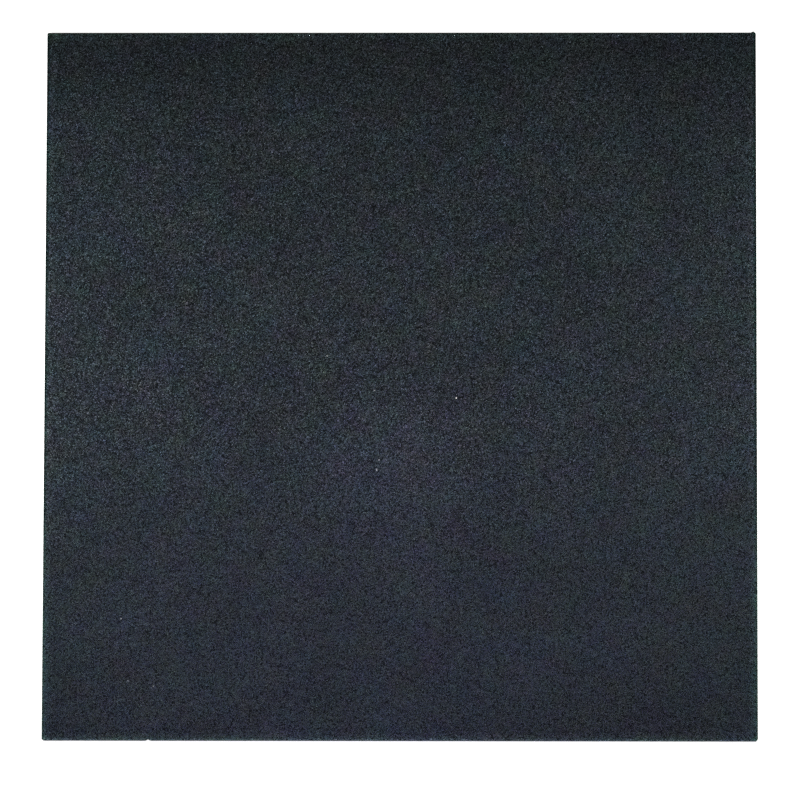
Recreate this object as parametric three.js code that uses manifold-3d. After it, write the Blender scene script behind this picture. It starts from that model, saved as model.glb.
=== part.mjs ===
// A square gym floor tile, pressed in one piece from black crumb rubber. It is a plain flat slab with
// upright sides and slightly rounded corners. A narrow bevel runs round the top, so that the joint
// between two tiles doesn't catch a foot. The underside is flat and its edge is square.
//
// Millimetres, +Z up. The origin is the middle of the underside, which lies on the floor.

import * as THREE from "three";
import { mergeVertices } from "three/addons/utils/BufferGeometryUtils.js";
import Module from "manifold-3d";

// Driving dimensions
const tileWidth = 1000; // both ways, because the tile is square
const tileHeight = 20; // its thickness, from the floor to the walking surface
const cornerRadius = 2; // of the upright corners, seen from above
const bevelWidth = 2; // how far the bevel reaches in over the top
const bevelDepth = 2; // how far it reaches down the side

// How finely a rounded corner is divided, in flats to a quarter turn
const cornerFlats = 6;

// Looks
const rubberBlack = 0x25282b;
const rubberRoughness = 0.85;

const wasm = await Module();
wasm.setup();

// A closed geometry as a solid that can be cut. Only its corner points are kept, each of them once.
function solidFrom(geometry) {
  const points = geometry.clone();
  points.deleteAttribute("normal");
  points.deleteAttribute("uv");
  const merged = mergeVertices(points);
  return new wasm.Manifold(
    new wasm.Mesh({
      numProp: 3,
      vertProperties: merged.attributes.position.array,
      triVerts: new Uint32Array(merged.index.array),
    }),
  );
}

// A cut solid as a geometry that can be drawn, with flat faces.
function geometryFrom(solid) {
  const mesh = solid.getMesh();
  const indexed = new THREE.BufferGeometry();
  indexed.setAttribute("position", new THREE.BufferAttribute(mesh.vertProperties, mesh.numProp));
  indexed.setIndex(new THREE.BufferAttribute(mesh.triVerts, 1));
  const faceted = indexed.toNonIndexed();
  faceted.computeVertexNormals();
  return faceted;
}

// The tile from above: four rounded corners, joined by the straight sides.
function tileOutline() {
  const cornerCentre = tileWidth / 2 - cornerRadius;
  const quarter = Math.PI / 2;
  const outline = new THREE.Shape();
  for (let corner = 0; corner < 4; corner++) {
    const start = corner * quarter;
    const towardsCorner = start + quarter / 2;
    const x = Math.sign(Math.cos(towardsCorner)) * cornerCentre;
    const y = Math.sign(Math.sin(towardsCorner)) * cornerCentre;
    outline.absarc(x, y, cornerRadius, start, start + quarter);
  }
  return outline;
}

// The slab before its bevel, lying on the floor.
function plainSlab() {
  const slab = new THREE.ExtrudeGeometry(tileOutline(), {
    depth: tileHeight,
    curveSegments: cornerFlats,
    bevelEnabled: false,
  });
  return solidFrom(slab);
}

// A square block that narrows upwards at the slope of the bevel. What it shares with the slab is the
// bevelled tile. It runs past the slab by one bevel, above and below.
function bevelBlock() {
  const inPerUp = bevelWidth / bevelDepth;
  const bottom = -bevelDepth;
  const top = tileHeight + bevelDepth;
  const slopeStart = tileHeight - bevelDepth; // the height at which the slope leaves the side
  const halfAt = (z) => tileWidth / 2 - (z - slopeStart) * inPerUp;
  const toCorner = Math.SQRT2; // from half a side to the square's corner
  const block = new THREE.CylinderGeometry(
    halfAt(top) * toCorner,
    halfAt(bottom) * toCorner,
    top - bottom,
    4,
  );
  block.rotateY(Math.PI / 4);
  block.rotateX(Math.PI / 2);
  block.translate(0, 0, (top + bottom) / 2);
  return solidFrom(block);
}

const rubber = new THREE.MeshStandardMaterial({
  color: rubberBlack,
  roughness: rubberRoughness,
  metalness: 0,
});

const tile = new THREE.Mesh(geometryFrom(plainSlab().intersect(bevelBlock())), rubber);
tile.name = "rubber_tile";

const gymFloorTile = new THREE.Group();
gymFloorTile.add(tile);

export default gymFloorTile;
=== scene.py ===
# %% [markdown]
# # A gym floor tile of pressed crumb rubber
#
# The real tile is one thing: black rubber crumb and a binder, pressed in a square mould into a flat
# slab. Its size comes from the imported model, which is loaded first and never changed. This lesson
# models the slab again with a finer surface, gives it its rubber, and lights it on a pale floor.

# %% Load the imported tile
import math

import bmesh
import bpy
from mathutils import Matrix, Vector


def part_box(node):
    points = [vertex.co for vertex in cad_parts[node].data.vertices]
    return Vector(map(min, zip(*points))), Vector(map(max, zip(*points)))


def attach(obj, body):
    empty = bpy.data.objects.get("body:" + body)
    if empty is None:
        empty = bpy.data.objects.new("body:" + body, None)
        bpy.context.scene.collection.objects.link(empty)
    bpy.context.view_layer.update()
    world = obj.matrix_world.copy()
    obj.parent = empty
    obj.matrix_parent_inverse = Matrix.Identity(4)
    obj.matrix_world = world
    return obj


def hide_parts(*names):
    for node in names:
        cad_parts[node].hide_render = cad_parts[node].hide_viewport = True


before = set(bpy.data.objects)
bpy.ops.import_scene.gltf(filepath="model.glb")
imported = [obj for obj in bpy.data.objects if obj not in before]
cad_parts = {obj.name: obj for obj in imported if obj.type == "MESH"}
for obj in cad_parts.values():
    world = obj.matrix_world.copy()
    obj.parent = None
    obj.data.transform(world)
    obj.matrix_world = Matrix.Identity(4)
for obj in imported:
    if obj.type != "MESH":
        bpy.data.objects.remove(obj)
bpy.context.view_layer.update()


def rounded(corner):
    return [round(v, 4) for v in corner]


# %% [markdown]
# ## The sizes that the rest follows
#
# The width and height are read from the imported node, so the lesson still fits if the tile changes.
# The depth of the bevel and the corner radius aren't stored there as numbers. They are repeated here
# as they are in the part. The shoulder is where the bevel, softened by the mould, meets the top.

# %% Sizes
MILLIMETRE = 0.001

low_corner, high_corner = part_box("rubber_tile")
TILE_WIDTH = high_corner.x - low_corner.x
TILE_HEIGHT = high_corner.z - low_corner.z
HALF_WIDTH = TILE_WIDTH / 2
BEVEL = 2 * MILLIMETRE
SHOULDER = 3.6 * MILLIMETRE
CORNER_RADIUS = 2 * MILLIMETRE
TINY = 0.01 * MILLIMETRE

print("width", round(TILE_WIDTH, 4), "height", round(TILE_HEIGHT, 4))

# %% [markdown]
# ## The camera
#
# The photograph looks down on the tile from far off with a long lens, so its sides stay nearly
# parallel. It leans by a few degrees: the tile is a little less high than wide, and a light line
# along its lower side is the front wall. Place, lean and lens were found by fitting the outline.

# %% Camera
CAMERA_PLACE = (0.184, -1.175, 10.0)
CAMERA_LEAN = 6.591
CAMERA_SIDE_LEAN = 1.041
CAMERA_ROLL = 0.153
LENS_MM = 322.3

camera_data = bpy.data.cameras.new("long_lens")
camera_data.sensor_width = 36
camera_data.lens = LENS_MM
camera_data.clip_end = 100
camera = bpy.data.objects.new("camera", camera_data)
camera.location = CAMERA_PLACE
camera.rotation_euler = [math.radians(a) for a in (CAMERA_LEAN, CAMERA_SIDE_LEAN, CAMERA_ROLL)]
bpy.context.scene.collection.objects.link(camera)
bpy.context.scene.camera = camera
print("camera at", CAMERA_PLACE, "with a lens of", LENS_MM, "mm")

# %% [markdown]
# ## Helpers for modelling by hand
#
# An operator acts on all that is selected. So each step first deselects everything, and then picks
# what it works on by its place.


# %% Selecting by place
def deselect_objects():
    if bpy.context.mode != "OBJECT":
        bpy.ops.object.mode_set(mode="OBJECT")
    bpy.ops.object.select_all(action="DESELECT")


def pick_only(piece):
    deselect_objects()
    bpy.context.view_layer.objects.active = piece
    piece.select_set(True)


def select_points(piece, wanted):
    """In edit mode, selects just the vertices whose place passes the test, and says how many."""
    bpy.ops.mesh.select_mode(type="VERT")
    bpy.ops.mesh.select_all(action="DESELECT")
    shape = bmesh.from_edit_mesh(piece.data)
    found = [point for point in shape.verts if wanted(point.co)]
    for point in found:
        point.select = True
    shape.select_flush(True)
    bmesh.update_edit_mesh(piece.data)
    return len(found)


def select_edges(piece, wanted):
    """In edit mode, selects just the edges both of whose ends pass the test."""
    bpy.ops.mesh.select_mode(type="EDGE")
    bpy.ops.mesh.select_all(action="DESELECT")
    shape = bmesh.from_edit_mesh(piece.data)
    found = [edge for edge in shape.edges if all(wanted(point.co) for point in edge.verts)]
    for edge in found:
        edge.select = True
    bmesh.update_edit_mesh(piece.data)
    return len(found)


def select_open_edges():
    bpy.ops.mesh.select_mode(type="EDGE")
    bpy.ops.mesh.select_all(action="DESELECT")
    bpy.ops.mesh.select_non_manifold()


def triangle_count(piece):
    return sum(len(face.vertices) - 2 for face in piece.data.polygons)


def from_middle(place):
    """How far out a point is towards the nearest side, from the upright line through the middle."""
    return max(abs(place.x), abs(place.y))


print("helpers ready")

# %% [markdown]
# ## The walking surface
#
# The slab could start as a cube, but its top needs a fine and even net of faces, to be roughened
# later. So it starts as a flat grid at the height of the walking surface, and the sides and the
# underside are extruded down from its border. A face is about 3.5 mm wide, which keeps the whole
# tile under 200,000 triangles.

# %% Grid for the top
TOP_CELLS = 284

deselect_objects()
bpy.ops.mesh.primitive_grid_add(
    x_subdivisions=TOP_CELLS,
    y_subdivisions=TOP_CELLS,
    size=TILE_WIDTH - 2 * SHOULDER,
    location=(0, 0, TILE_HEIGHT),
)
tile = bpy.context.object
tile.name = tile.data.name = "pressed_crumb_tile"
bpy.ops.object.transform_apply(location=True, rotation=True, scale=True)
print("top grid of", len(tile.data.polygons), "faces")

# %% [markdown]
# ## The shoulder and the sides
#
# A crisp bevel would look machined. In the photograph the edge turns over softly, within three or
# four millimetres. So the border of the grid is extruded three times, a little outwards and ever
# more downwards, and then straight down in rows, for the sides. The rows give the sides enough
# points for their own crumb.

# %% Shoulder and sides
SHOULDER_STEPS = [  # how far in from the side and how far below the top each line lies
    (1.8 * MILLIMETRE, 0.25 * MILLIMETRE),
    (0.7 * MILLIMETRE, 0.9 * MILLIMETRE),
    (0.0, BEVEL),
]
SIDE_ROWS = 7


def extrude_down(depth):
    bpy.ops.mesh.extrude_region_move(TRANSFORM_OT_translate={"value": (0, 0, -depth)})


def spread_border(width_now, width_wanted):
    factor = width_wanted / width_now
    bpy.ops.transform.resize(value=(factor, factor, 1), center_override=(0, 0, 0))


bpy.ops.object.mode_set(mode="EDIT")
select_open_edges()
line_in, line_depth = SHOULDER, 0
for next_in, next_depth in SHOULDER_STEPS:
    extrude_down(next_depth - line_depth)
    spread_border(TILE_WIDTH - 2 * line_in, TILE_WIDTH - 2 * next_in)
    line_in, line_depth = next_in, next_depth
for row in range(SIDE_ROWS):
    extrude_down((TILE_HEIGHT - BEVEL) / SIDE_ROWS)
print("sides in", SIDE_ROWS, "rows of", round((TILE_HEIGHT - BEVEL) / SIDE_ROWS * 1000, 2), "mm")

# %% [markdown]
# ## The underside
#
# The underside is flat and lies on the floor, so it needs far fewer faces than the top. A narrow rim
# is extruded inwards, a coarse grid is added in the same plane, and the gap between them is bridged.

# %% Underside
UNDER_CELLS = 48
UNDER_RIM = 5 * MILLIMETRE
UNDER_BRIDGE = 10 * MILLIMETRE

extrude_down(0)
spread_border(TILE_WIDTH, TILE_WIDTH - 2 * UNDER_RIM)
bpy.ops.mesh.select_all(action="DESELECT")
bpy.ops.mesh.primitive_grid_add(
    x_subdivisions=UNDER_CELLS,
    y_subdivisions=UNDER_CELLS,
    size=TILE_WIDTH - 2 * (UNDER_RIM + UNDER_BRIDGE),
    location=(0, 0, 0),
)
bpy.ops.mesh.flip_normals()
select_open_edges()
bpy.ops.mesh.bridge_edge_loops()
print("underside grid of", UNDER_CELLS, "by", UNDER_CELLS)

# %% [markdown]
# ## The upright corners
#
# Three corners of the real tile are crisp. The one at the front right is worn, and rounder. Each is
# the chain of upright edges at that corner, bevelled in three steps.

# %% Rounded corners
CORNER_STEPS = 3
WORN_CORNER = (1, -1)
WORN_RADIUS = 3.2 * MILLIMETRE


def at_corner(right, back):
    def test(place):
        return (
            abs(place.x - right * HALF_WIDTH) < TINY and abs(place.y - back * HALF_WIDTH) < TINY
        )

    return test


for right in (-1, 1):
    for back in (-1, 1):
        chain = select_edges(tile, at_corner(right, back))
        radius = WORN_RADIUS if (right, back) == WORN_CORNER else CORNER_RADIUS
        bpy.ops.mesh.bevel(offset=radius, segments=CORNER_STEPS, affect="EDGES")
        print("corner", (right, back), "of", chain, "edges rounded by", round(radius * 1000, 1), "mm")

bpy.ops.mesh.select_all(action="SELECT")
bpy.ops.mesh.normals_make_consistent(inside=False)

# %% [markdown]
# ## Crumb relief
#
# Pressed crumb isn't smooth: grains stand a little proud or lie a little low. A sculpted or
# simulated surface would take millions of faces. Instead the points of the net are moved by chance,
# sideways so that no rows show, and a little up and down. The finest grains are left to the
# material. The border lines move least, because the mould leaves the edges straight.

# %% Random relief
SIDEWAYS = 1.1 * MILLIMETRE
TOP_RISE = 0.18
SIDE_RELIEF = 0.12 * MILLIMETRE
EDGE_RELIEF = 0.08 * MILLIMETRE
TOP_EDGE = HALF_WIDTH - SHOULDER


def jitter(amount, seed):
    bpy.ops.transform.vertex_random(offset=amount, uniform=0, normal=0, seed=seed)


inner = select_points(
    tile, lambda p: p.z > TILE_HEIGHT - TINY and from_middle(p) < TOP_EDGE - TINY
)
jitter(SIDEWAYS, seed=11)
bpy.ops.transform.resize(value=(1, 1, TOP_RISE), center_override=(0, 0, TILE_HEIGHT))

rim = select_points(
    tile, lambda p: p.z > TILE_HEIGHT - TINY and abs(from_middle(p) - TOP_EDGE) < TINY
)
jitter(EDGE_RELIEF, seed=12)

sides = select_points(
    tile, lambda p: TINY < p.z < TILE_HEIGHT - BEVEL - TINY and from_middle(p) > HALF_WIDTH - TINY
)
jitter(SIDE_RELIEF, seed=13)

foot = select_points(tile, lambda p: p.z < TINY and from_middle(p) > HALF_WIDTH - TINY)
jitter(SIDE_RELIEF, seed=14)
bpy.ops.transform.resize(value=(1, 1, 0), center_override=(0, 0, 0))
print("moved", inner, "points on top and", rim, "on its rim")
print("moved", sides, "points on the sides and", foot, "at the foot")

# %% [markdown]
# ## Uneven filling
#
# The crumb was raked into the mould by hand, so the surface rises and falls slightly over some
# centimetres. Two Displace modifiers do this, one with broad clouds and one with small lumps. A
# vertex group holds just the points of the top inside its rim, so the edges stay straight and the
# underside stays flat on the floor.

# %% Displace modifiers
BROAD_SIZE = 0.09
BROAD_RISE = 0.5 * MILLIMETRE
LUMP_SIZE = 0.011
LUMP_RISE = 0.22 * MILLIMETRE
UNMOVED_LEVEL = 0.7  # the brightness of a cloud at which a point stays where it is

select_points(
    tile, lambda p: p.z > TILE_HEIGHT - BEVEL / 2 and from_middle(p) < TOP_EDGE - SHOULDER
)
bpy.ops.object.vertex_group_assign_new()
top_group = tile.vertex_groups[-1].name
bpy.ops.object.mode_set(mode="OBJECT")


def displace(piece, label, kind, size, rise):
    pattern = bpy.data.textures.new(label, kind)
    pattern.noise_scale = size
    modifier = piece.modifiers.new(label, "DISPLACE")
    modifier.texture = pattern
    modifier.texture_coords = "LOCAL"
    modifier.direction = "Z"
    modifier.mid_level = UNMOVED_LEVEL
    modifier.strength = rise
    modifier.vertex_group = top_group
    bpy.ops.object.modifier_apply(modifier=label)


pick_only(tile)
displace(tile, "broad_filling", "CLOUDS", BROAD_SIZE, BROAD_RISE)
displace(tile, "small_lumps", "CLOUDS", LUMP_SIZE, LUMP_RISE)
top_heights = [v.co.z for v in tile.data.vertices if v.co.z > TILE_HEIGHT - BEVEL / 2]
lowest, highest = [round(height / MILLIMETRE, 2) for height in (min(top_heights), max(top_heights))]
print("top between", lowest, "and", highest, "mm")

# %% [markdown]
# ## Small flaws of the edge
#
# Pressing leaves a few flaws. A thin flake stands out behind the back right corner, and the front
# side has a nick near its left end. Each is a pull or a push of the nearest line of points, with the
# neighbours following a little, as a proportional move does by hand.

# %% Flake and nick
EDGE_FLAWS = [  # place of the point to move, where it goes, and how far its neighbours follow
    ((0.4955, 0.5), (0, 1.8 * MILLIMETRE), 2.5 * MILLIMETRE),
    ((-0.3535, -0.5), (0, 1.7 * MILLIMETRE), 2.0 * MILLIMETRE),
]
FLAW_CORE = 0.8 * MILLIMETRE  # all points this close to the flaw's middle move in full
SKIN_KEPT = 0.5 * MILLIMETRE  # nothing higher than this below the top is moved in full


def nearest_point(piece, place):
    """The point at the foot of the shoulder that lies nearest to a place, seen from above."""
    shape = bmesh.from_edit_mesh(piece.data)
    lowest = TILE_HEIGHT - 2 * BEVEL
    highest = TILE_HEIGHT - BEVEL / 2
    near_top = [v.co for v in shape.verts if lowest < v.co.z < highest]
    return min(near_top, key=lambda c: (c.x - place[0]) ** 2 + (c.y - place[1]) ** 2).copy()


def in_flaw(centre):
    def test(place):
        apart = math.hypot(place.x - centre.x, place.y - centre.y)
        return apart < FLAW_CORE and place.z < TILE_HEIGHT - SKIN_KEPT

    return test


bpy.ops.object.mode_set(mode="EDIT")
for place, way, reach in EDGE_FLAWS:
    centre = nearest_point(tile, place)
    moved = select_points(tile, in_flaw(centre))
    bpy.ops.transform.translate(
        value=(*way, 0),
        use_proportional_edit=True,
        proportional_edit_falloff="SHARP",
        proportional_size=reach,
    )
    print("flaw at", rounded(centre), "moved", moved, "points")

# %% [markdown]
# ## Grit in the crumb
#
# A few pale grains, of another rubber or of grit, were pressed in with the black ones. They are too
# few and too distinct for the pattern of the material. Each one is a single face of the net, inset
# and raised, in one of two pale materials.

# %% Pale grains
WHITE_GRIT = [(0.0797, -0.0177)]
GREY_GRIT = [
    (-0.0376, -0.0102),
    (-0.0303, -0.1061),
    (-0.0331, -0.1188),
    (-0.1038, 0.0407),
    (-0.3803, -0.4184),
    (-0.3453, -0.4240),
    (-0.3893, -0.3315),
]
GRIT_INSET = 0.75 * MILLIMETRE
GRIT_RISE = 0.35 * MILLIMETRE
GRIT_SLOTS = {"white": 3, "grey": 4}
FACES_UP = 0.8  # the least upward part of the normal of a face on top


def press_in_grain(piece, place, slot):
    bpy.ops.mesh.select_mode(type="FACE")
    bpy.ops.mesh.select_all(action="DESELECT")
    shape = bmesh.from_edit_mesh(piece.data)
    on_top = [face for face in shape.faces if face.normal.z > FACES_UP]
    face = min(on_top, key=lambda f: (f.calc_center_median().xy - Vector(place)).length)
    face.select = True
    shape.faces.active = face
    bmesh.update_edit_mesh(piece.data)
    bpy.ops.mesh.inset(thickness=GRIT_INSET, depth=GRIT_RISE)
    shape = bmesh.from_edit_mesh(piece.data)
    for face in shape.faces:
        if face.select:
            face.material_index = slot
    bmesh.update_edit_mesh(piece.data)


for place in WHITE_GRIT:
    press_in_grain(tile, place, GRIT_SLOTS["white"])
for place in GREY_GRIT:
    press_in_grain(tile, place, GRIT_SLOTS["grey"])
bpy.ops.object.mode_set(mode="OBJECT")
print("pressed in", len(WHITE_GRIT) + len(GREY_GRIT), "pale grains")

# %% [markdown]
# ## Smooth shading
#
# The relief should look like soft rubber and not like cut stone, so faces that meet at a small angle
# are shaded smooth, and the square foot of the sides stays sharp.

# %% Smooth shading
SMOOTH_UP_TO = 35

bpy.ops.object.shade_smooth_by_angle(angle=math.radians(SMOOTH_UP_TO))
print(tile.name, "has", triangle_count(tile), "triangles")

# %% [markdown]
# ## Crumb as a node group
#
# Both the pressed top and the sides show crumb, so the pattern is one node group that each material
# places with its own values. Grains are Voronoi cells. Each gets three chance values, which its
# shade, tint, gloss and level follow, and a facet that leans its own way, which catches the light
# or doesn't. The gaps between grains are low, and so are the pits where one is missing. The group
# marks both as hollows, and the material paints shadow into them.


# %% Group helpers
def new_group(label, inputs, outputs):
    group = bpy.data.node_groups.new(label, "ShaderNodeTree")
    for name, kind, value in inputs:
        socket = group.interface.new_socket(name, in_out="INPUT", socket_type=kind)
        if value is not None:
            socket.default_value = value
    for name, kind in outputs:
        group.interface.new_socket(name, in_out="OUTPUT", socket_type=kind)
    return group


def add_node(tree, kind, label, **settings):
    node = tree.nodes.new(kind)
    node.label = label
    for key, value in settings.items():
        setattr(node, key, value)
    return node


def math_node(tree, operation, label, first, second=None, third=None):
    """A Math node whose inputs are either sockets or plain numbers."""
    node = add_node(tree, "ShaderNodeMath", label, operation=operation)
    for index, value in enumerate((first, second, third)):
        if value is None:
            continue
        if isinstance(value, (int, float)):
            node.inputs[index].default_value = value
        else:
            tree.links.new(value, node.inputs[index])
    return node.outputs[0]


def vector_node(tree, operation, label, first, second):
    node = add_node(tree, "ShaderNodeVectorMath", label, operation=operation)
    for index, value in enumerate((first, second)):
        if isinstance(value, (tuple, list)):
            node.inputs[index].default_value = value
        else:
            tree.links.new(value, node.inputs[index])
    return node


print("node helpers ready")


# %% The crumb group
WARPS_PER_GRAIN = 1.3
LEVEL_SPREAD = 0.4
LOWEST_LEVEL = 0.6
USUAL_CHANCE = 0.45
WARM_TINT = 0.2
COOL_TINT = 0.25


def build_crumb_group():
    group = new_group(
        "crumb",
        [
            ("Place", "NodeSocketVector", None),
            ("Grain size", "NodeSocketFloat", 0.002),
            ("Gap width", "NodeSocketFloat", 0.12),
            ("Facet lean", "NodeSocketFloat", 1.0),
            ("Pit share", "NodeSocketFloat", 0.15),
            ("Openness", "NodeSocketFloat", 1.0),
        ],
        [
            ("Height", "NodeSocketFloat"),
            ("Chance", "NodeSocketFloat"),
            ("Second chance", "NodeSocketFloat"),
            ("Hollow", "NodeSocketFloat"),
            ("Grain tint", "NodeSocketColor"),
        ],
    )
    link = group.links.new
    given = add_node(group, "NodeGroupInput", "given")
    result = add_node(group, "NodeGroupOutput", "result")
    per_metre = math_node(group, "DIVIDE", "grains per metre", 1.0, given.outputs["Grain size"])

    scaled = add_node(group, "ShaderNodeVectorMath", "place in grains", operation="SCALE")
    link(given.outputs["Place"], scaled.inputs[0])
    link(per_metre, scaled.inputs["Scale"])
    warp = add_node(group, "ShaderNodeTexNoise", "uneven grain outlines")
    warp.inputs["Scale"].default_value = WARPS_PER_GRAIN
    warp.inputs["Detail"].default_value = 1.0
    link(scaled.outputs[0], warp.inputs["Vector"])
    centred = vector_node(group, "SUBTRACT", "warp both ways", warp.outputs["Color"], (0.5, 0.5, 0.5))
    warped = vector_node(group, "ADD", "warped place", scaled.outputs[0], centred.outputs[0])

    cells = add_node(group, "ShaderNodeTexVoronoi", "grains", feature="F1")
    cells.inputs["Scale"].default_value = 1.0
    link(warped.outputs[0], cells.inputs["Vector"])
    borders = add_node(group, "ShaderNodeTexVoronoi", "grain borders", feature="DISTANCE_TO_EDGE")
    borders.inputs["Scale"].default_value = 1.0
    link(warped.outputs[0], borders.inputs["Vector"])
    chances = add_node(group, "ShaderNodeSeparateColor", "three chances")
    link(cells.outputs["Color"], chances.inputs[0])

    body = add_node(group, "ShaderNodeMapRange", "rounded grain", interpolation_type="SMOOTHSTEP")
    link(borders.outputs["Distance"], body.inputs["Value"])
    link(given.outputs["Gap width"], body.inputs["From Max"])
    gap = math_node(group, "SUBTRACT", "gap", 1.0, body.outputs[0])
    openness = given.outputs["Openness"]
    pits = math_node(group, "MULTIPLY", "share of pits here", given.outputs["Pit share"], openness)
    missing = math_node(group, "LESS_THAN", "missing grain", chances.outputs[1], pits)
    hollow = math_node(group, "MAXIMUM", "gap or pit", gap, missing)
    filled = math_node(group, "SUBTRACT", "filled", 1.0, hollow)

    centre = cells.outputs["Position"]
    inside = vector_node(group, "SUBTRACT", "place in the grain", warped.outputs[0], centre)
    lean = vector_node(group, "SUBTRACT", "facet direction", cells.outputs["Color"], (0.5, 0.5, 0.5))
    facet = add_node(group, "ShaderNodeVectorMath", "facet height", operation="DOT_PRODUCT")
    link(inside.outputs[0], facet.inputs[0])
    link(lean.outputs[0], facet.inputs[1])
    steepness = given.outputs["Facet lean"]
    leaned = math_node(group, "MULTIPLY", "facet lean", facet.outputs["Value"], steepness)
    level = math_node(group, "MULTIPLY", "grain level", chances.outputs[1], LEVEL_SPREAD)
    raised = math_node(group, "ADD", "facet on its level", leaned, level)
    raised = math_node(group, "ADD", "above the gap", raised, LOWEST_LEVEL)
    height = math_node(group, "MULTIPLY", "height", raised, filled)

    link(height, result.inputs["Height"])
    spread = math_node(group, "SUBTRACT", "from the usual shade", chances.outputs[0], USUAL_CHANCE)
    spread = math_node(group, "MULTIPLY_ADD", "spread of shades", spread, openness, USUAL_CHANCE)
    link(spread, result.inputs["Chance"])
    link(chances.outputs[2], result.inputs["Second chance"])
    link(hollow, result.inputs["Hollow"])

    def around_one(label, chance, width):
        return math_node(group, "MULTIPLY_ADD", label, chance, width, 1 - width / 2)

    warmth = around_one("warmth of a grain", chances.outputs[2], WARM_TINT)
    coolness = around_one("coolness of a grain", chances.outputs[1], COOL_TINT)
    grain_tint = add_node(group, "ShaderNodeCombineXYZ", "tint of a grain")
    link(warmth, grain_tint.inputs["X"])
    grain_tint.inputs["Y"].default_value = 1.0
    link(coolness, grain_tint.inputs["Z"])
    link(grain_tint.outputs[0], result.inputs["Grain tint"])
    return group


crumb_group = build_crumb_group()
print("group", crumb_group.name, "has", len(crumb_group.nodes), "nodes")


# %% [markdown]
# ## Uneven batches and painted shade along the back
#
# The crumb comes from many tyres and is spread by hand, so its tint and density wander over some
# centimetres. Towards the front the shades of the grains spread less and fewer pits show. Along the
# back the tint carries painted shade, darker towards the back edge, which stands in for light that
# falls off towards the back. One group gives both: a tint that wanders round white, and an openness
# that is one over the back half and less towards the front.


# %% Batch group
BLOTCHES_PER_METRE = 26
CLOUDS_PER_METRE = 7
BLOTCH_TINT = 0.76
BLOTCH_GREY_KEPT = 0.4
CLOUD_SHADE = 0.43
# Over this stretch towards the front, the grain's shades spread less and fewer pits show.
LEAST_OPEN_AT = -0.42
OPEN_AT = 0.0
FRONT_OPENNESS = 0.62
# Painted shade: from here to the back edge the tint darkens, standing in for light that falls off.
BACK_SHADE_FROM = 0.34
BACK_PAINTED_SHADE = 0.7


def build_batch_and_back_shade_group():
    group = new_group(
        "uneven_batches_and_back_shade",
        [("Place", "NodeSocketVector", None)],
        [("Tint", "NodeSocketColor"), ("Openness", "NodeSocketFloat")],
    )
    link = group.links.new
    given = add_node(group, "NodeGroupInput", "given")
    result = add_node(group, "NodeGroupOutput", "result")
    blotches = add_node(group, "ShaderNodeTexNoise", "blotches of a few centimetres")
    blotches.inputs["Scale"].default_value = BLOTCHES_PER_METRE
    blotches.inputs["Detail"].default_value = 2.5
    blotches.inputs["Roughness"].default_value = 0.6
    link(given.outputs["Place"], blotches.inputs["Vector"])
    clouds = add_node(group, "ShaderNodeTexNoise", "broad clouds")
    clouds.inputs["Scale"].default_value = CLOUDS_PER_METRE
    clouds.inputs["Detail"].default_value = 1
    link(given.outputs["Place"], clouds.inputs["Vector"])
    share = (1 - BLOTCH_GREY_KEPT) / 3
    grey = vector_node(group, "DOT_PRODUCT", "grey of a blotch", blotches.outputs["Color"], [share] * 3)
    usual = 1 - BLOTCH_GREY_KEPT * BLOTCH_TINT / 2
    level = math_node(
        group, "MULTIPLY_ADD", "keeps the grey even", grey.outputs["Value"], -BLOTCH_TINT, usual
    )
    tint = add_node(group, "ShaderNodeVectorMath", "tint of a blotch", operation="MULTIPLY_ADD")
    link(blotches.outputs["Color"], tint.inputs[0])
    tint.inputs[1].default_value = [BLOTCH_TINT] * 3
    link(level, tint.inputs[2])
    palest = 1 - CLOUD_SHADE / 2
    shade = math_node(group, "MULTIPLY_ADD", "shade of a cloud", clouds.outputs[0], CLOUD_SHADE, palest)

    axes = add_node(group, "ShaderNodeSeparateXYZ", "axes")
    link(given.outputs["Place"], axes.inputs[0])
    # Less open towards the front: the grain's shades spread less and fewer pits show there.
    openness_here = add_node(
        group, "ShaderNodeMapRange", "less open towards the front", interpolation_type="SMOOTHSTEP"
    )
    link(axes.outputs["Y"], openness_here.inputs["Value"])
    openness_here.inputs["From Min"].default_value = LEAST_OPEN_AT
    openness_here.inputs["From Max"].default_value = OPEN_AT
    openness_here.inputs["To Min"].default_value = FRONT_OPENNESS
    link(openness_here.outputs[0], result.inputs["Openness"])
    # Painted shade along the back of the tile.
    back_shade = add_node(
        group, "ShaderNodeMapRange", "painted shade along the back", interpolation_type="SMOOTHSTEP"
    )
    link(axes.outputs["Y"], back_shade.inputs["Value"])
    back_shade.inputs["From Min"].default_value = BACK_SHADE_FROM
    back_shade.inputs["From Max"].default_value = HALF_WIDTH
    back_shade.inputs["To Min"].default_value = 1.0
    back_shade.inputs["To Max"].default_value = BACK_PAINTED_SHADE
    darkened = math_node(group, "MULTIPLY", "cloud with painted back shade", shade, back_shade.outputs[0])
    both = add_node(group, "ShaderNodeVectorMath", "both", operation="SCALE")
    link(tint.outputs[0], both.inputs[0])
    link(darkened, both.inputs["Scale"])
    link(both.outputs[0], result.inputs["Tint"])
    return group


batch_and_back_shade_group = build_batch_and_back_shade_group()
print("group", batch_and_back_shade_group.name, "has", len(batch_and_back_shade_group.nodes), "nodes")
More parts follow.
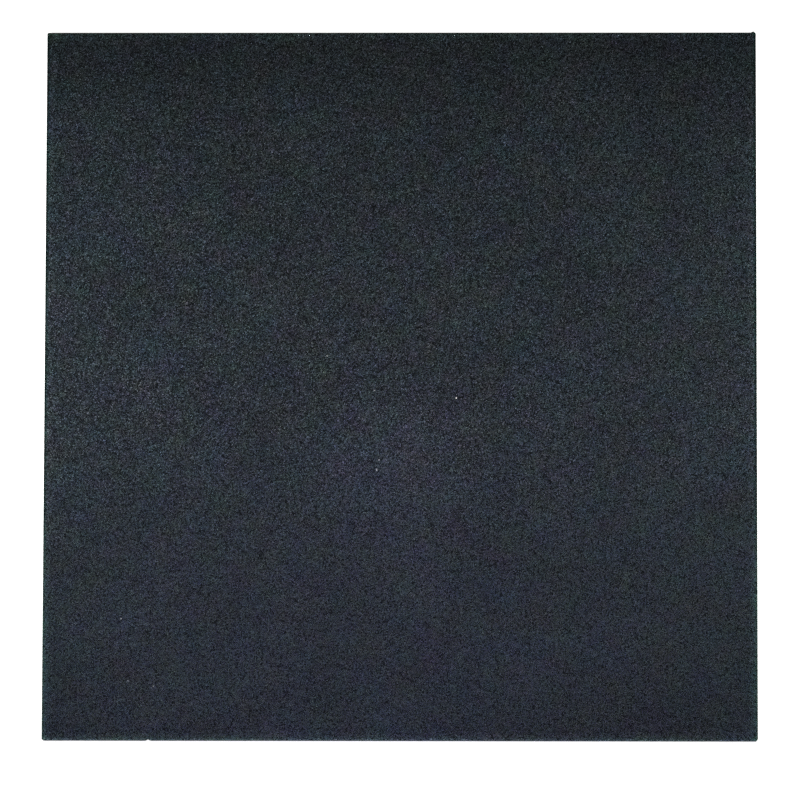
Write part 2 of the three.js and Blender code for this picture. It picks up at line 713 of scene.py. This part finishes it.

# %% [markdown]
# ## The rim
#
# The rim carries painted shade and painted light. Along the outermost edge, about two grains wide,
# it is darker than the rest. This is painted shade, where the rounded edge turns away from the lamps.
# Just inside it, a band of some millimetres is paler, which is a painted highlight. The dark line
# stays at the back part of the left and right sides. Towards the front it is painted pale instead,
# standing in for light that reaches the edge from the front, and so it is along the back and the
# front. Each line is a colour ramp over the distance from a side, and the place itself gives that
# distance. The tint fades out down the walls, which have their own finish.


# %% Rim group
RIM_BAND = 13 * MILLIMETRE
# Between these two places the painted shade of the side edges gives way to painted light.
EDGE_LIGHT_FULL_AT = -0.33
EDGE_SHADE_ENDS_AT = -0.10
RIM_ENDS = 13 * MILLIMETRE
RIM_FULL = 17 * MILLIMETRE
EDGE_LIGHT_PATCHES_PER_METRE = 14
PATCHINESS = 0.8
# Painted shade at the outermost edge, and a painted highlight band just inside it.
SIDE_EDGE_PAINTED_SHADE_AND_HIGHLIGHT = [  # distance from the side in millimetres, and the tint there
    (13.0, (1.0, 1.0, 1.0)),
    (8.4, (1.31, 1.26, 1.22)),
    (5.6, (1.42, 1.4, 1.36)),
    (4.2, (1.08, 1.28, 1.18)),
    (2.8, (0.41, 0.8, 0.66)),
    (1.4, (0.09, 0.32, 0.25)),
]
# Painted light: the same side edges, pale all along, towards the front.
SIDE_EDGE_PAINTED_LIGHT = [
    (13.0, (1.0, 1.0, 1.0)),
    (8.4, (1.25, 1.4, 1.3)),
    (5.6, (1.3, 1.55, 1.4)),
    (4.2, (1.5, 1.9, 1.6)),
    (2.8, (1.29, 1.93, 1.43)),
    (1.4, (1.38, 2.0, 1.53)),
]
# Painted highlight along the back edge.
BACK_EDGE_PAINTED_HIGHLIGHT = [
    (13.0, (1.0, 1.0, 1.0)),
    (8.4, (1.15, 1.3, 1.2)),
    (5.6, (1.4, 1.5, 1.4)),
    (2.8, (1.38, 1.77, 1.48)),
    (1.4, (1.38, 1.77, 1.48)),
]
# Painted light along the front edge and its shoulder.
FRONT_EDGE_PAINTED_LIGHT = [
    (13.0, (1.0, 1.0, 1.05)),
    (8.4, (1.15, 1.15, 1.2)),
    (5.6, (1.4, 1.4, 1.35)),
    (4.2, (1.2, 1.25, 1.2)),
    (2.8, (0.92, 1.18, 0.97)),
    (1.4, (2.2, 2.0, 2.05)),
]


def build_rim_group():
    group = new_group(
        "rim",
        [("Place", "NodeSocketVector", None), ("Half width", "NodeSocketFloat", 0.5)],
        [("Tint", "NodeSocketColor")],
    )
    link = group.links.new
    given = add_node(group, "NodeGroupInput", "given")
    result = add_node(group, "NodeGroupOutput", "result")
    axes = add_node(group, "ShaderNodeSeparateXYZ", "axes")
    link(given.outputs["Place"], axes.inputs[0])
    inner = math_node(group, "SUBTRACT", "inner end of the band", given.outputs["Half width"], RIM_BAND)

    def nearness(label, outward):
        near = add_node(group, "ShaderNodeMapRange", label)
        link(outward, near.inputs["Value"])
        link(inner, near.inputs["From Min"])
        link(given.outputs["Half width"], near.inputs["From Max"])
        return near.outputs[0]

    def line(label, near, stops):
        node = add_node(group, "ShaderNodeValToRGB", label)
        link(near, node.inputs[0])
        band = node.color_ramp
        while len(band.elements) < len(stops):
            band.elements.new(0.5)
        for element, (distance, tint) in zip(band.elements, stops):
            element.position = 1 - distance * MILLIMETRE / RIM_BAND
            element.color = (*[part / 2 for part in tint], 1)
        doubled = add_node(group, "ShaderNodeVectorMath", label + ", doubled", operation="SCALE")
        link(node.outputs["Color"], doubled.inputs[0])
        doubled.inputs["Scale"].default_value = 2.0
        return doubled.outputs[0]

    sideways = math_node(group, "ABSOLUTE", "from the middle line", axes.outputs["X"])
    beside = nearness("close to the left or right side", sideways)
    behind = nearness("close to the back side", axes.outputs["Y"])
    towards_front = math_node(group, "MULTIPLY", "towards the front", axes.outputs["Y"], -1.0)
    before = nearness("close to the front side", towards_front)
    side_shade = line("painted shade along the sides", beside, SIDE_EDGE_PAINTED_SHADE_AND_HIGHLIGHT)
    side_lit = line("painted light along the sides", beside, SIDE_EDGE_PAINTED_LIGHT)
    back = line("line along the back", behind, BACK_EDGE_PAINTED_HIGHLIGHT)
    front = line("line along the front", before, FRONT_EDGE_PAINTED_LIGHT)

    # Painted light: towards the front, and in patches, the side line turns from painted shade to pale.
    lit_towards_front = add_node(
        group, "ShaderNodeMapRange", "painted light towards the front", interpolation_type="SMOOTHSTEP"
    )
    link(axes.outputs["Y"], lit_towards_front.inputs["Value"])
    lit_towards_front.inputs["From Min"].default_value = EDGE_SHADE_ENDS_AT
    lit_towards_front.inputs["From Max"].default_value = EDGE_LIGHT_FULL_AT
    patches = add_node(group, "ShaderNodeTexNoise", "patchy painted light")
    patches.inputs["Scale"].default_value = EDGE_LIGHT_PATCHES_PER_METRE
    patches.inputs["Detail"].default_value = 2
    link(given.outputs["Place"], patches.inputs["Vector"])
    patchy = math_node(
        group, "MULTIPLY_ADD", "patchy", patches.outputs[0], PATCHINESS, -PATCHINESS / 2
    )
    lit_share = math_node(group, "ADD", "lit_share", lit_towards_front.outputs[0], patchy)
    side = add_node(group, "ShaderNodeMix", "left and right line", data_type="RGBA")
    link(lit_share, side.inputs["Factor"])
    link(side_shade, side.inputs["A"])
    link(side_lit, side.inputs["B"])

    ends = vector_node(group, "MULTIPLY", "back and front line", back, front)
    around = vector_node(group, "MULTIPLY", "line all round", side.outputs["Result"], ends.outputs[0])
    high = add_node(group, "ShaderNodeMapRange", "fades down the wall")
    link(axes.outputs["Z"], high.inputs["Value"])
    high.inputs["From Min"].default_value = RIM_ENDS
    high.inputs["From Max"].default_value = RIM_FULL
    tint = add_node(group, "ShaderNodeMix", "tint of the rim", data_type="RGBA")
    link(high.outputs[0], tint.inputs["Factor"])
    tint.inputs["A"].default_value = (1, 1, 1, 1)
    link(around.outputs[0], tint.inputs["B"])
    link(tint.outputs["Result"], result.inputs["Tint"])
    return group


rim_group = build_rim_group()
print("group", rim_group.name, "has", len(rim_group.nodes), "nodes")

# %% [markdown]
# ## The rubber
#
# Tyre rubber is a very dark, slightly blue grey. Its colour alone would look flat, so every grain
# has its own shade, a few pale ones are scattered among them, and broad clouds of a slightly
# different density lie over all. The roughness changes from grain to grain, because a torn grain is
# dull and a cut one shines.


# %% Rubber material
# Painted shadow: the gaps and pits between the grains are darkened towards a near-black colour.
HOLLOW_PAINTED_SHADOW = 0.92
HOLLOW_SHADOW_COLOUR = (0.0005, 0.0012, 0.003, 1)


def ramp(tree, label, socket, stops):
    node = add_node(tree, "ShaderNodeValToRGB", label)
    tree.links.new(socket, node.inputs[0])
    band = node.color_ramp
    while len(band.elements) < len(stops):
        band.elements.new(0.5)
    for element, (place, colour) in zip(band.elements, stops):
        element.position = place
        element.color = (*colour, 1)
    return node.outputs["Color"]


def rubber_material(label, grain, bump_depth, shades, roughness_range, specular):
    material = bpy.data.materials.new(label)
    material.use_nodes = True
    tree = material.node_tree
    link = tree.links.new
    shader = tree.nodes["Principled BSDF"]
    shader.inputs["Specular IOR Level"].default_value = specular
    place = add_node(tree, "ShaderNodeTexCoord", "place on the tile")

    def placed_group(group, **values):
        node = add_node(tree, "ShaderNodeGroup", group.name)
        node.node_tree = group
        link(place.outputs["Object"], node.inputs["Place"])
        for name, value in values.items():
            node.inputs[name.replace("_", " ").capitalize()].default_value = value
        return node

    crumb = placed_group(crumb_group, **grain)
    batch_and_back_shade = placed_group(batch_and_back_shade_group)
    rim = placed_group(rim_group, half_width=HALF_WIDTH)
    link(batch_and_back_shade.outputs["Openness"], crumb.inputs["Openness"])

    shade = ramp(tree, "shade of a grain", crumb.outputs["Chance"], shades)

    def tinted_by(label, colour, tint):
        return vector_node(tree, "MULTIPLY", label, colour, tint).outputs[0]

    # This tint carries painted shade along the back, and the rim's painted shade and light at the edge.
    tint = tinted_by("tint of batch and rim", batch_and_back_shade.outputs["Tint"], rim.outputs["Tint"])
    tint = tinted_by("tint of the grain too", tint, crumb.outputs["Grain tint"])
    tinted = tinted_by("tinted grain", shade, tint)
    # Painted shadow in the hollows: the base colour is mixed towards a near-black there.
    darker = math_node(
        tree, "MULTIPLY", "shadow in the hollows", crumb.outputs["Hollow"], HOLLOW_PAINTED_SHADOW
    )
    in_gap = add_node(tree, "ShaderNodeMix", "hollows take painted shadow", data_type="RGBA")
    link(darker, in_gap.inputs["Factor"])
    link(tinted, in_gap.inputs["A"])
    in_gap.inputs["B"].default_value = HOLLOW_SHADOW_COLOUR
    link(in_gap.outputs["Result"], shader.inputs["Base Color"])

    gloss = add_node(tree, "ShaderNodeMapRange", "gloss of a grain")
    link(crumb.outputs["Second chance"], gloss.inputs["Value"])
    gloss.inputs["To Min"].default_value, gloss.inputs["To Max"].default_value = roughness_range
    duller = math_node(tree, "MAXIMUM", "hollows are dull", gloss.outputs[0], crumb.outputs["Hollow"])
    link(duller, shader.inputs["Roughness"])

    relief = add_node(tree, "ShaderNodeBump", "crumb relief")
    relief.inputs["Strength"].default_value = 1.0
    relief.inputs["Distance"].default_value = bump_depth
    link(crumb.outputs["Height"], relief.inputs["Height"])
    link(relief.outputs["Normal"], shader.inputs["Normal"])
    return material


TOP_SHADES = [
    (0.0, (0.0119, 0.0203, 0.0260)),
    (0.5, (0.0411, 0.0578, 0.0739)),
    (0.85, (0.0677, 0.0890, 0.1140)),
    (1.0, (0.1385, 0.1680, 0.2135)),
]
SIDE_SHADES = [
    (0.0, (0.0119, 0.0168, 0.0182)),
    (0.6, (0.0380, 0.0522, 0.0570)),
    (1.0, (0.0870, 0.1190, 0.1300)),
]
TOP_GRAIN = {"grain_size": 0.0015, "gap_width": 0.14, "pit_share": 0.21}
SIDE_GRAIN = {"grain_size": 0.0022, "gap_width": 0.16, "pit_share": 0.16}
UNDER_GRAIN = {"grain_size": 0.0026, "gap_width": 0.18, "pit_share": 0.16}

top_rubber = rubber_material(
    "pressed_top",
    TOP_GRAIN,
    bump_depth=1.0 * MILLIMETRE,
    shades=TOP_SHADES,
    roughness_range=(0.45, 0.8),
    specular=0.22,
)
side_rubber = rubber_material(
    "crumb_side",
    SIDE_GRAIN,
    bump_depth=1.0 * MILLIMETRE,
    shades=SIDE_SHADES,
    roughness_range=(0.75, 1.0),
    specular=0.05,
)
under_rubber = rubber_material(
    "crumb_underside",
    UNDER_GRAIN,
    bump_depth=1.2 * MILLIMETRE,
    shades=SIDE_SHADES,
    roughness_range=(0.5, 0.9),
    specular=0.2,
)
print("three finishes of the rubber")

# %% [markdown]
# ## The grit
#
# A pale grain isn't one even colour either: its faces were scratched when the surface was pressed.


# %% Grit material
SCRATCHES_PER_METRE = 900


def grit_material(label, darkest, lightest):
    material = bpy.data.materials.new(label)
    material.use_nodes = True
    tree = material.node_tree
    shader = tree.nodes["Principled BSDF"]
    shader.inputs["Roughness"].default_value = 0.6
    place = add_node(tree, "ShaderNodeTexCoord", "place on the tile")
    scratches = add_node(tree, "ShaderNodeTexNoise", "scratches")
    scratches.inputs["Scale"].default_value = SCRATCHES_PER_METRE
    tree.links.new(place.outputs["Object"], scratches.inputs["Vector"])
    stops = [(0.3, darkest), (0.7, lightest)]
    shade = ramp(tree, "shade of the grit", scratches.outputs[0], stops)
    tree.links.new(shade, shader.inputs["Base Color"])
    return material


white_grit = grit_material("white_grit", (0.60, 0.62, 0.62), (0.85, 0.85, 0.83))
grey_grit = grit_material("grey_grit", (0.14, 0.16, 0.18), (0.26, 0.29, 0.31))
print("two shades of grit")

# %% [markdown]
# ## Which face gets which material
#
# The grit's faces already have their slots. Of the rest, those that look down are the underside,
# and those that look up or slope gently are the top. The steep part of the shoulder and the walls
# are the sides.


# %% Materials by face
TOP_SLOT, SIDE_SLOT, UNDER_SLOT = 0, 1, 2
NEARLY_LEVEL = 0.9
LOOKS_DOWN = -0.7


def face_material(face):
    if face.material_index in GRIT_SLOTS.values():
        return face.material_index
    if face.normal.z < LOOKS_DOWN:
        return UNDER_SLOT
    if face.normal.z > NEARLY_LEVEL:
        return TOP_SLOT
    return SIDE_SLOT


for material in (top_rubber, side_rubber, under_rubber, white_grit, grey_grit):
    tile.data.materials.append(material)
for face in tile.data.polygons:
    face.material_index = face_material(face)
for index, material in enumerate(tile.data.materials):
    print(material.name, "has", sum(f.material_index == index for f in tile.data.polygons), "faces")

# %% [markdown]
# ## Floor, world and lights
#
# The photograph has a pure white ground and soft light. A pale floor that glows by itself stays
# white up to the tile, and the world is white where the camera sees it and dim where it lights the
# tile.


# %% Floor
FLOOR_SIZE = 60
FLOOR_GLOW = 0.95


def pale_floor():
    deselect_objects()
    bpy.ops.mesh.primitive_plane_add(size=FLOOR_SIZE, location=(0, 0, 0))
    floor = bpy.context.object
    floor.name = floor.data.name = "floor"
    material = bpy.data.materials.new("pale_floor")
    material.use_nodes = True
    shader = material.node_tree.nodes["Principled BSDF"]
    shader.inputs["Base Color"].default_value = (0.9, 0.9, 0.9, 1)
    shader.inputs["Roughness"].default_value = 0.9
    shader.inputs["Specular IOR Level"].default_value = 0.0
    shader.inputs["Emission Color"].default_value = (1, 1, 1, 1)
    shader.inputs["Emission Strength"].default_value = FLOOR_GLOW
    material.cycles.emission_sampling = "NONE"
    floor.data.materials.append(material)
    return floor


floor = pale_floor()
print("pale floor of", floor.dimensions.x, "metres")


# %% World
FILL_COLOUR = (0.75, 0.75, 1.0, 1)
FILL_STRENGTH = 0.006


def white_world():
    world = bpy.data.worlds.new("studio")
    world.use_nodes = True
    world.cycles.sampling_method = "NONE"
    bpy.context.scene.world = world
    tree = world.node_tree
    background = tree.nodes["Background"]
    background.inputs["Color"].default_value = FILL_COLOUR
    background.inputs["Strength"].default_value = FILL_STRENGTH
    seen = tree.nodes.new("ShaderNodeBackground")
    seen.inputs["Color"].default_value = (1, 1, 1, 1)
    path = tree.nodes.new("ShaderNodeLightPath")
    choose = tree.nodes.new("ShaderNodeMixShader")
    tree.links.new(path.outputs["Is Camera Ray"], choose.inputs[0])
    tree.links.new(background.outputs[0], choose.inputs[1])
    tree.links.new(seen.outputs[0], choose.inputs[2])
    tree.links.new(choose.outputs[0], tree.nodes["World Output"].inputs["Surface"])


white_world()
print("world", bpy.context.scene.world.name, "is white to the camera and dim on the tile")


# %% [markdown]
# ## Lights
#
# In the photograph the light is soft and even, and falls off towards the back. Two tall soft boxes
# stand at the left and right. A broad one over the back half is a little yellow, one over the
# middle is rosy and one over the front is violet. Together they leave the front of the tile bluer
# than its back, as it is in the photograph. A thin one, low and far off, lights the front wall, and
# a narrow spot gives the faint glow near the middle.


# %% Lights
def add_lamp(label, kind, place, watts, colour, target):
    lamp = bpy.data.lights.new(label, kind)
    lamp.energy = watts
    lamp.color = colour
    holder = bpy.data.objects.new(label, lamp)
    holder.location = place
    aim = Vector(target) - holder.location
    holder.rotation_euler = aim.to_track_quat("-Z", "Y").to_euler()
    holder.visible_camera = False
    bpy.context.scene.collection.objects.link(holder)
    return holder


def soft_light(label, place, size, watts, colour, target=(0, 0, 0)):
    holder = add_lamp(label, "AREA", place, watts, colour, target)
    holder.data.shape = "RECTANGLE"
    holder.data.size, holder.data.size_y = size
    return holder


def spot_light(label, place, radius, watts, colour, target):
    """A spot whose soft circle of light has this radius on the floor below it."""
    holder = add_lamp(label, "SPOT", place, watts, colour, target)
    holder.data.spot_size = 2 * math.atan2(radius, place[2])
    holder.data.spot_blend = 1.0
    holder.data.shadow_soft_size = 0.05
    return holder


soft_light(
    "middle",
    place=(-0.05, -0.15, 0.6),
    size=(0.3, 0.3),
    watts=0.52,
    colour=(1.0, 0.69, 0.76),
    target=(-0.05, -0.15, 0),
)
soft_light(
    "over_front",
    place=(-0.05, -0.45, 0.5),
    size=(0.8, 0.2),
    watts=0.92,
    colour=(0.61, 0.36, 1.0),
    target=(-0.05, -0.42, 0),
)
soft_light(
    "over_back",
    place=(-0.05, 0.15, 1.3),
    size=(0.5, 0.5),
    watts=5.7,
    colour=(0.97, 0.98, 0.74),
)
soft_light(
    "left",
    place=(-0.95, 0, 0.45),
    size=(0.3, 1.2),
    watts=8.1,
    colour=(0.95, 1.0, 0.96),
)
soft_light(
    "right",
    place=(0.95, 0.0, 0.45),
    size=(0.3, 1.2),
    watts=6.15,
    colour=(0.97, 1.0, 0.965),
)
soft_light(
    "front",
    place=(0, -2.0, 0.035),
    size=(1.6, 0.03),
    watts=32,
    colour=(0.76, 0.92, 1.0),
    target=(0, -0.5, 0.01),
)
spot_light(
    "glow",
    place=(-0.013, -0.12, 1.3),
    radius=0.142,
    watts=18.6,
    colour=(0.74, 0.64, 1.0),
    target=(-0.013, -0.12, 0),
)
print("lamps:", [lamp.name for lamp in bpy.data.lights])

# %% [markdown]
# ## Colour and noise
#
# The standard view transform keeps the white ground white. Denoising would wipe out the grain of the
# rubber, so it stays off.

# %% Colour management and noise
scene = bpy.context.scene
scene.view_settings.view_transform = "Standard"
scene.cycles.use_denoising = False
scene.cycles.max_bounces = 4
print("view transform", scene.view_settings.view_transform)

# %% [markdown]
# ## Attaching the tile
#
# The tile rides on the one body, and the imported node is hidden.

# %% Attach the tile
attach(tile, "root")
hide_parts("rubber_tile")
